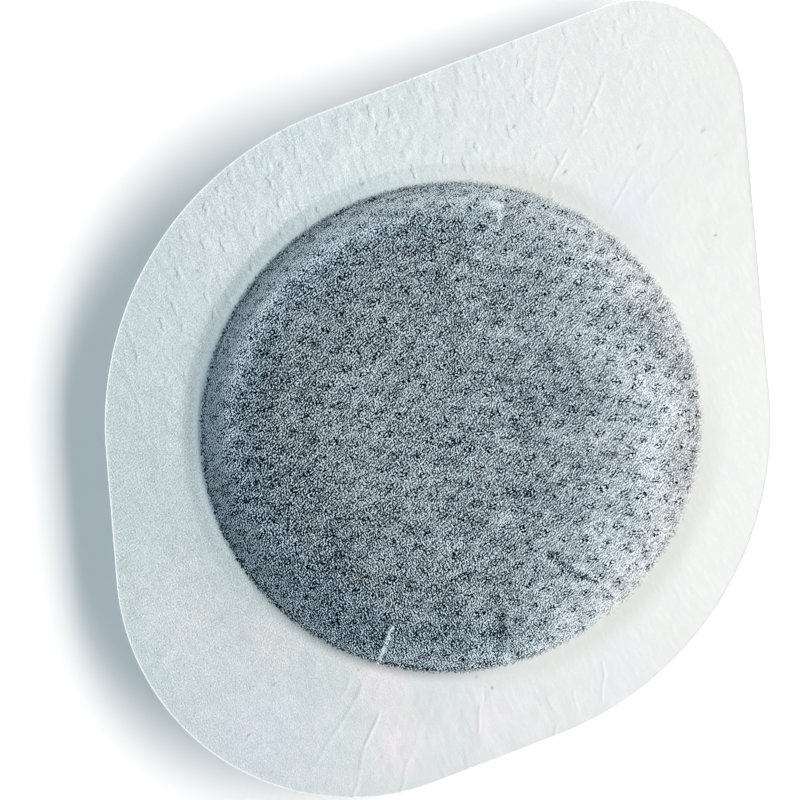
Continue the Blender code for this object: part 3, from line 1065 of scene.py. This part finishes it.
class PaperSheet(Sheet):
    """Filter paper: white and fibrous where it is sealed, a thin film where coffee lies behind it.

    Lengths are in mm. The layer sets the noise of one ply apart from that of the other.
    """

    def __init__(self, owner, colours, relief, layer, fibre_angle, other_angle):
        super().__init__(owner)
        self.colours = colours
        self.relief = relief
        self.layer = layer
        self.fibre_angle = fibre_angle
        self.other_angle = other_angle
        flat = self.node("ShaderNodeAttribute", {"attribute_name": "flat"}, {}, "Vector")
        self.x, self.y = self.parts(flat)
        self.inside_rim = self.number("inside_rim")
        self.ragged_rim = self.number("ragged_rim")
        self.right_side = self.number("right_side")
        self.top_side = self.number("top_side")
        self.add_fibres()
        self.add_dots()
        film = self.film()
        sealed = self.sealed_border()

        # Where the film ends: ragged, with coffee grains and a painted line of shade, on the side away from
        # the light, and soft on the lit side
        soft = 0.30 * (1.0 - self.ragged_rim)
        over_coffee = (self.inside_rim + self.ragged * 0.5).rising(-0.10 - soft, 0.08 + soft)
        over_coffee = over_coffee.largest(self.rim_grains_and_shade * (self.inside_rim + 0.3).rising(-0.1, 0.2))
        colour = self.mix(over_coffee, sealed, film)
        colour = self.mix((self.number("warmth") * 0.6).clamped(), colour, colours.coffee_stain)
        self.surface({
            "Base Color": colour,
            "Roughness": 0.86 + 0.2 * self.clumps,
            "Specular IOR Level": 0.02,
            "Normal": self.bump(1.0, PAPER_BUMP, self.fine_relief(over_coffee)),
        })

    def noise(self, x, y, layer, detail=0.0):
        """Noise around 0, at places given in cells."""
        values = {"Vector": self.vector(x, y, layer), "Scale": 1.0, "Detail": detail}
        return self.node("ShaderNodeTexNoise", {"noise_dimensions": "3D"}, values, "Fac") - 0.5

    def blotches(self, name):
        """Noise around 0, as its row of the table says."""
        cells, seed, detail = BLOTCHES[name]
        return self.noise(self.x * cells, self.y * cells, self.layer + seed, detail)

    def fibres(self, name, angle):
        """Noise around 0 drawn out beside an angle, as its row of the table says."""
        turn, across, along, seed = FIBRES[name]
        cosine, sine = math.cos(angle + turn), math.sin(angle + turn)
        lengthwise = self.x * (cosine / along) + self.y * (sine / along)
        sideways = self.x * (-sine / across) + self.y * (cosine / across)
        return self.noise(sideways, lengthwise, self.layer + seed)

    def hairs(self, name, angle):
        """Single thin lines beside an angle."""
        return (1.0 - self.fibres(name, angle).size() * HAIR_GAIN).largest(0.0)

    def strokes(self, angle):
        """Fine strokes along an angle, of mean 0 and deviation 1."""
        values = {
            "Vector": self.vector(self.x + 3.7 * self.layer, self.y - 2.3 * self.layer),
            "Scale": 1.0 / STROKE_LENGTH,
            "Frequency": STROKE_LENGTH / STROKE_SPACING,
            "Anisotropy": 1.0 - STROKE_SPREAD,
            "Orientation": angle + math.pi / 2.0,
        }
        return (self.node("ShaderNodeTexGabor", {"gabor_type": "2D"}, values, "Value") - 0.5) * STROKE_GAIN

    def add_fibres(self):
        """Fibres in two directions: fine strokes, finer grain, white hairs, and clumps."""
        turned = self.number("turned")
        lean = (turned + 1.6 * self.blotches("lean")).rising(0.455, 0.475)
        lean_angle = self.fibre_angle + (self.other_angle - self.fibre_angle) * lean
        self.grain = self.strokes(lean_angle)
        self.grain = self.grain * (0.62 + 0.76 * self.blotches("stroke_patches").rising(-0.08, 0.08))
        self.fine = self.fibres("fine", self.fibre_angle)
        hair = self.hairs("hair", self.fibre_angle)
        self.hair = hair + self.hairs("other_hair", self.other_angle) * turned
        self.broad = self.fibres("broad", self.fibre_angle)
        self.clumps = self.blotches("clumps")
        self.ragged = self.blotches("ragged")
        self.mottle = self.blotches("mottle")

    def add_dots(self):
        """Where a point lies from the nearest embossed dot, a chance for each dot, and the dots."""
        relief = self.relief
        a_x, a_y = relief.dot_step_a / MM * direction(relief.dot_angle_a)
        b_x, b_y = relief.dot_step_b / MM * direction(relief.dot_angle_b)
        area = a_x * b_y - a_y * b_x
        first = self.x * (b_y / area) + self.y * (-b_x / area) + (0.5 - DOT_PHASE_A)
        second = self.x * (-a_y / area) + self.y * (a_x / area) + (0.5 - DOT_PHASE_B)
        cell = {"Vector": self.vector(first.whole(), second.whole())}
        flat_noise = {"noise_dimensions": "2D"}
        shift_x, shift_y = self.parts(self.node("ShaderNodeTexWhiteNoise", flat_noise, cell, "Color"))
        self.chance = self.node("ShaderNodeTexWhiteNoise", flat_noise, cell, "Value")
        off_first = first.fraction() - 0.5
        off_second = second.fraction() - 0.5
        self.off_x = off_first * a_x + off_second * b_x + (shift_x - 0.5) * DOT_SCATTER
        self.off_y = off_first * a_y + off_second * b_y + (shift_y - 0.5) * DOT_SCATTER
        self.waver = self.blotches("waver")
        angle = self.fibre_angle - DOT_LEAN
        patch = oval(self.off_x, self.off_y, angle, relief.dot_length / MM, relief.dot_width / MM)
        self.dot = (patch + self.waver).falling(*DOT_EDGE) * (0.60 + 0.40 * self.chance)

    def film(self):
        """Colour of the film over the coffee, by a tone from coffee, 0, to thick paper, 1."""
        colours, right_side, ragged_rim = self.colours, self.right_side, self.ragged_rim
        shoulder = ragged_rim * self.inside_rim.falling(*SHOULDER_BAND)
        steep = ragged_rim * self.inside_rim.falling(*STEEP_BAND)
        bright_rim = right_side * self.inside_rim.falling(*BRIGHT_BAND)

        # The level of the paper, and the pale ledge near the rim, which is partly painted light that
        # offsets the shade of the steep shoulder. On that shoulder the strokes are stronger and the tone
        # may go paler, to offset its shade as well
        level = colours.film_tone + self.number("tone") + 0.12 * self.clumps
        level = level + 0.34 * self.blotches("clouds")
        streaks = self.fibres("streaks", self.fibre_angle)
        level = level + (0.30 - 0.26 * right_side) * streaks
        contrast = 1.75 - 1.55 * level + 0.60 * level * ragged_rim
        contrast = contrast * (1.0 - 0.28 * right_side - 0.25 * bright_rim + 0.30 * shoulder + 0.50 * steep)
        hidden_coffee = (1.7 * level - 1.3).clamped()
        level = level.smallest(2.0 - 1.12 * shoulder)
        ledge_side = self.number("ledge")
        from_rim = self.inside_rim + self.ragged * 0.3
        ledge = ledge_side * from_rim.rising(*LEDGE_START) * from_rim.falling(*LEDGE_END)
        tone = level + ledge * (0.92 - level) * 0.8 - 0.035 * bright_rim

        # Fibres
        tone = tone + colours.fibre_contrast * self.broad + colours.hair_contrast * (self.hair - 0.3)
        strokes = self.grain + colours.dark_skew * self.grain.smallest(0.0)
        stroke_contrast = colours.grain_contrast * (1.0 - 0.25 * right_side)
        tone = tone + contrast * (stroke_contrast * strokes + colours.fine_contrast * self.fine)
        tone = tone + 0.45 * right_side * self.fine

        # Grains of coffee that show through the dots and other thin spots
        grains = self.fibres("grains", self.fibre_angle).rising(0.0, 0.03)
        thin_spots = self.dot.largest(0.6 * self.clumps.falling(-0.22, -0.10))
        thin_spots = thin_spots * (1.15 - 0.20 * right_side - 0.20 * bright_rim) * (1.0 - hidden_coffee)
        tone = tone - thin_spots * (colours.speck_contrast * grains - colours.dot_contrast)

        # Painted shade: a dark line under the ledge, and along the rim coffee grains over a painted dark
        # line for the shade of the steep wall, strongest on the side away from the light
        tone = tone - 0.20 * (from_rim - LEDGE_START[0]).size().falling(0.03, 0.12) * ledge_side
        grains = self.blotches("rim_grains_and_shade").rising(0.0, 0.07)
        grains = 0.25 + 0.75 * grains.largest(0.6 * ledge_side)
        grains = grains * (self.inside_rim + self.ragged * 0.5 - 0.10).size().falling(0.12, 0.30)
        self.rim_grains_and_shade = grains * (0.12 + 0.88 * ragged_rim)
        tone = (tone - 0.52 * self.rim_grains_and_shade).largest(DARKEST).smallest(0.87 + 0.12 * shoulder)

        # The tone as a colour
        brown = (0.42 - tone).largest(0.0) * self.blotches("brown").rising(-0.12, 0.16)
        cool = ragged_rim * self.inside_rim.falling(*COOL_BAND) * tone
        shades = {}
        for name, (shift, *shares) in FILM_COLOURS.items():
            shade = tone + shift
            for share, part in zip(shares, (level, brown, right_side, bright_rim, cool)):
                shade = shade + share * part
            shades[name] = shade.largest(DARKEST)
        colour = self.node("ShaderNodeCombineColor", {}, shades)
        return self.node("ShaderNodeGamma", {}, {"Color": colour, "Gamma": DISPLAY_GAMMA})

    def sealed_border(self):
        """Colour of the sealed border: mottled double paper, painted darker and bluer towards the left as
        painted shade, smoother and bluer beside the puck, where the dome's shadow is painted, and with a
        painted glow along the cut edge.
        """
        colours, mottle, inside_rim = self.colours, self.mottle, self.inside_rim
        # Painted light and shade: the border goes from its shaded copy on the left to its lit copy on the
        # right, mixed with random mottle
        lit_side = self.number("lit_side") + 0.5 * mottle + 0.3 * self.blotches("drift")
        colour = self.mix(lit_side.clamped(), colours.shaded_paper, colours.lit_paper)
        lilac = self.number("lilac") * (1.0 + 2.0 * mottle)
        colour = self.mix(lilac.clamped(), colour, colours.lilac_paper)
        pink = self.number("pink") * (1.0 + 1.5 * mottle)
        colour = self.mix(pink.clamped(), colour, colours.pink_paper)
        # Painted shadow of the dome: a darker and bluer ring beside the puck, made paler again towards the
        # rim as painted light against the shade in the corner
        beside = (inside_rim + mottle * 0.5 + self.ragged * 0.15).rising(-1.75, -1.60)
        dome_shadow_paper = self.scaled(colours.dome_shadow_paper, 0.93 + 0.12 * inside_rim.rising(-1.6, -0.4))
        colour = self.mix(beside * self.number("ring") * 0.95, colour, dome_shadow_paper)
        around = (inside_rim + mottle * 0.8 + self.ragged * 0.3).rising(-2.8, -0.7)
        colour = self.mix(around * self.number("cream") * 0.9, colour, colours.cream_paper)

        # Flecks of the felt, dark specks less painted highlights of the embossing, a little paler on the
        # top side, and painted light near the rim in the corner beside the puck on the left, which offsets
        # its shade, with painted shade near the rim on the lower left
        fleck = 0.07 * self.grain + 0.8 * self.fine + 0.16 * self.broad + 0.14 * self.clumps + 0.12 * mottle
        fleck = fleck * self.number("felt") * (1.0 - 0.4 * self.top_side)
        fleck = fleck + 1.0 + 0.06 * self.top_side - 0.55 * self.number("specks_and_highlights")
        fleck = fleck + 0.05 * self.clumps * self.ragged.rising(-0.15, 0.15)
        fleck = fleck * (1.0 + 0.85 * self.number("corner_light_and_shade") * inside_rim.rising(-1.1, -0.10))
        # Painted glow along the cut edge
        cut_edge_glow = self.number("inside_edge").falling(*EDGE_GLOW_BAND)
        return self.mix(cut_edge_glow * 0.6, self.scaled(colour, fleck), colours.cut_edge_glow)

    def fine_relief(self, over_coffee):
        """Height of the felt, of the embossing and of short crinkles, too fine for the mesh."""
        reach = (self.x * self.x + self.y * self.y) ** 0.5
        round_x, round_y = self.x / reach * CRINKLES_ROUND, self.y / reach * CRINKLES_ROUND
        crinkle = self.noise(round_x, round_y, reach * CRINKLES_OUT)
        crinkle = (1.0 - crinkle.size() * CRINKLE_GAIN).largest(0.0)
        wrinkle = self.fibres("wrinkle", self.other_angle) * self.clumps.rising(-0.10, 0.15)
        bump = oval(self.off_x, self.off_y, self.other_angle - 0.15, *BUMP_OVAL) + self.waver * 1.9
        bump = bump.falling(*BUMP_EDGE) * self.chance.rising(0.25, 0.9) * (0.10 + 0.90 * self.top_side)
        felt = (0.20 * self.fine + 0.4 * self.clumps + 0.12 * crinkle) * self.number("felt")
        sealed = felt + bump + 1.9 * wrinkle * (0.30 + 0.70 * self.top_side)
        return sealed * (1.0 - over_coffee) + (0.15 * self.fine - 0.4 * self.dot) * over_coffee


def coffee_material(name, colours):
    """Finely ground roasted coffee: packed grains of mixed brown."""
    material = bpy.data.materials.new(name)
    sheet = Sheet(material)
    grain = {"Vector": sheet.node("ShaderNodeTexCoord", {}, {}, "Object"), "Scale": GRAINS_PER_METRE}
    cell = sheet.node("ShaderNodeTexVoronoi", {"feature": "F1"}, grain, "Color")
    shade = sheet.node("ShaderNodeSeparateColor", {}, {"Color": cell}, "Red")
    edge = sheet.node("ShaderNodeTexVoronoi", {"feature": "DISTANCE_TO_EDGE"}, grain, "Distance")
    body = edge.rising(0.0, 0.22)
    chaff = shade.rising(0.72, 0.98)
    colour = sheet.mix(chaff * body, colours.dark_grain, colours.light_grain)
    sheet.surface({
        "Base Color": sheet.scaled(colour, 0.4 + 0.9 * body),
        "Roughness": 0.75 + 0.2 * shade,
        "Normal": sheet.bump(0.9, COFFEE_BUMP, body * shade),
    })
    return material


def floor_material(name, studio):
    """Matt floor that also shows the camera some light of its own, so that it looks white."""
    material = bpy.data.materials.new(name)
    sheet = Sheet(material)
    cloud = sheet.node("ShaderNodeTexNoise", {}, {"Scale": 3.0, "Detail": 2.0}, "Fac")
    camera_ray = sheet.node("ShaderNodeLightPath", {}, {}, "Is Camera Ray")
    sheet.surface({
        "Base Color": sheet.mix(0.03 * cloud, studio.floor_colour, WHITE),
        "Roughness": 0.9,
        "Specular IOR Level": 0.0,
        "Emission Color": sheet.mix(camera_ray, BLACK, studio.floor_glow),
        "Emission Strength": 1.0,
    })
    return material


def ready(piece, node):
    """Lets a piece ride on the pod, and puts it in the place of a solid."""
    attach(piece, "root")
    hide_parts(node)


class POD_OT_upper_paper(Operator):
    """Make the domed upper ply of filter paper"""

    bl_idname = "pod.upper_paper"
    bl_label = "Upper filter paper"

    def execute(self, context):
        scene = context.scene
        form = PodForm(scene.pod_shape, scene.pod_relief)
        mesh = build_ply(form, form.upper_outside, form.upper_inside, True)
        material = bpy.data.materials.new("Upper paper")
        PaperSheet(material, scene.pod_paper, scene.pod_relief, *UPPER_FIBRES)
        piece = make_ply("upper_paper", form, mesh, True, material)
        ready(piece, "upper_filter_paper")
        return {"FINISHED"}


class POD_OT_lower_paper(Operator):
    """Make the cupped lower ply of filter paper"""

    bl_idname = "pod.lower_paper"
    bl_label = "Lower filter paper"

    def execute(self, context):
        scene = context.scene
        form = PodForm(scene.pod_shape, scene.pod_relief)
        mesh = build_ply(form, form.lower_outside, form.lower_inside, False)
        material = bpy.data.materials.new("Lower paper")
        PaperSheet(material, scene.pod_paper, scene.pod_relief, *LOWER_FIBRES)
        piece = make_ply("lower_paper", form, mesh, False, material)
        ready(piece, "lower_filter_paper")
        return {"FINISHED"}


class POD_OT_coffee(Operator):
    """Give the puck of ground coffee its finish"""

    bl_idname = "pod.coffee"
    bl_label = "Ground coffee"

    def execute(self, context):
        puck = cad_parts["coffee_puck"]
        material = coffee_material("Ground coffee", context.scene.pod_coffee)
        for slot in puck.material_slots:
            slot.material = material
        return {"FINISHED"}


def lamp_power(level, distance, elevation, width, height):
    """Watts of a lamp that alone shows white at that level on a flat floor."""
    places = (np.arange(LAMP_CELLS) + 0.5) / LAMP_CELLS - 0.5
    sideways, upwards = np.meshgrid(places * width / distance, places * height / distance)
    reached = np.mean((1.0 + sideways**2 + upwards**2) ** -2.0)
    return level * math.pi**2 * distance**2 / (math.sin(elevation) * reached)


def add_lamp(name, level, distance, elevation, azimuth, width, height, colour):
    """A soft lamp that looks at the pod from an angle of the picture."""
    across = direction(azimuth + ROLL) * distance * math.cos(elevation)
    light = bpy.data.lights.new(name, "AREA")
    light.shape = "RECTANGLE"
    light.size = height
    light.size_y = width
    light.energy = lamp_power(level, distance, elevation, width, height)
    light.color = colour
    lamp = bpy.data.objects.new(name, light)
    lamp.location = (across[0], across[1], distance * math.sin(elevation))
    lamp.rotation_euler = (0.0, math.pi / 2.0 - elevation, azimuth + ROLL)
    bpy.context.scene.collection.objects.link(lamp)


class POD_OT_studio(Operator):
    """Make the floor, the lamps, the even light and the camera"""

    bl_idname = "pod.studio"
    bl_label = "Studio"

    def execute(self, context):
        studio = context.scene.pod_studio
        self.add_floor(studio)
        add_lamp(
            "Key", studio.key_level, studio.key_distance, studio.key_elevation, studio.key_azimuth,
            studio.key_width, studio.key_height, studio.key_colour,
        )
        add_lamp(
            "Fill", studio.fill_level, studio.fill_distance, studio.fill_elevation, studio.fill_azimuth,
            studio.fill_width, studio.fill_width, studio.fill_colour,
        )
        self.add_sky(context.scene, studio)
        self.add_camera(context.scene, studio)
        return {"FINISHED"}

    def add_floor(self, studio):
        half = FLOOR_SIZE / 2.0
        corners = [(-half, -half, 0.0), (half, -half, 0.0), (half, half, 0.0), (-half, half, 0.0)]
        mesh = bpy.data.meshes.new("floor")
        mesh.from_pydata(corners, [], [(0, 1, 2, 3)])
        mesh.materials.append(floor_material("Pale floor", studio))
        floor = bpy.data.objects.new("floor", mesh)
        floor.location.z = CAD_BOX[0].z - FLOOR_GAP
        bpy.context.scene.collection.objects.link(floor)

    def add_sky(self, scene, studio):
        """Even light from all round, and plain white where the camera sees past the floor."""
        scene.world = bpy.data.worlds.new("Even light")
        sheet = Sheet(scene.world)
        camera_ray = sheet.node("ShaderNodeLightPath", {}, {}, "Is Camera Ray")
        colour = sheet.mix(camera_ray, studio.sky_colour, WHITE)
        strength = studio.sky_level + camera_ray * (1.0 - studio.sky_level)
        background = sheet.node("ShaderNodeBackground", {}, {"Color": colour, "Strength": strength})
        sheet.node("ShaderNodeOutputWorld", {}, {"Surface": background})

    def add_camera(self, scene, studio):
        """Straight above the middle of the picture, rolled as the photograph is."""
        centre = pod_point(PICTURE_SIZE / 2, PICTURE_SIZE / 2)
        camera = bpy.data.objects.new("Camera", bpy.data.cameras.new("Camera"))
        camera.location = (centre[0], centre[1], UPPER_BOX[0].z + studio.camera_height)
        camera.rotation_euler = (0.0, 0.0, ROLL)
        camera.data.sensor_width = SENSOR_WIDTH
        camera.data.lens = SENSOR_WIDTH * studio.camera_height / (PICTURE_SIZE * PIXEL)
        camera.data.clip_start = 0.01
        camera.data.clip_end = 10.0
        scene.collection.objects.link(camera)
        scene.camera = camera
        scene.view_settings.view_transform = "Standard"


class POD_PT_panel(Panel):
    """Lists the pieces of the pod"""

    bl_idname = "POD_PT_panel"
    bl_label = "Espresso pod"
    bl_space_type = "VIEW_3D"
    bl_region_type = "UI"
    bl_category = "Espresso pod"

    def draw(self, context):
        for operator in OPERATORS:
            self.layout.operator(operator.bl_idname)
        for holder in SETTINGS:
            settings = getattr(context.scene, holder)
            box = self.layout.box()
            for name in settings.__annotations__:
                box.prop(settings, name)


SETTINGS = {
    "pod_shape": PodShape,
    "pod_relief": PaperRelief,
    "pod_paper": PaperColours,
    "pod_coffee": CoffeeColours,
    "pod_studio": StudioSettings,
}
OPERATORS = (POD_OT_upper_paper, POD_OT_lower_paper, POD_OT_coffee, POD_OT_studio)
CLASSES = (*SETTINGS.values(), *OPERATORS, POD_PT_panel)


def register():
    for cls in CLASSES:
        bpy.utils.register_class(cls)
    for name, group in SETTINGS.items():
        setattr(bpy.types.Scene, name, PointerProperty(type=group))


def unregister():
    for name in SETTINGS:
        delattr(bpy.types.Scene, name)
    for cls in reversed(CLASSES):
        bpy.utils.unregister_class(cls)


def main():
    register()
    bpy.ops.pod.upper_paper()
    bpy.ops.pod.lower_paper()
    bpy.ops.pod.coffee()
    bpy.ops.pod.studio()
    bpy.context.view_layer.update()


if __name__ == "__main__":
    main()
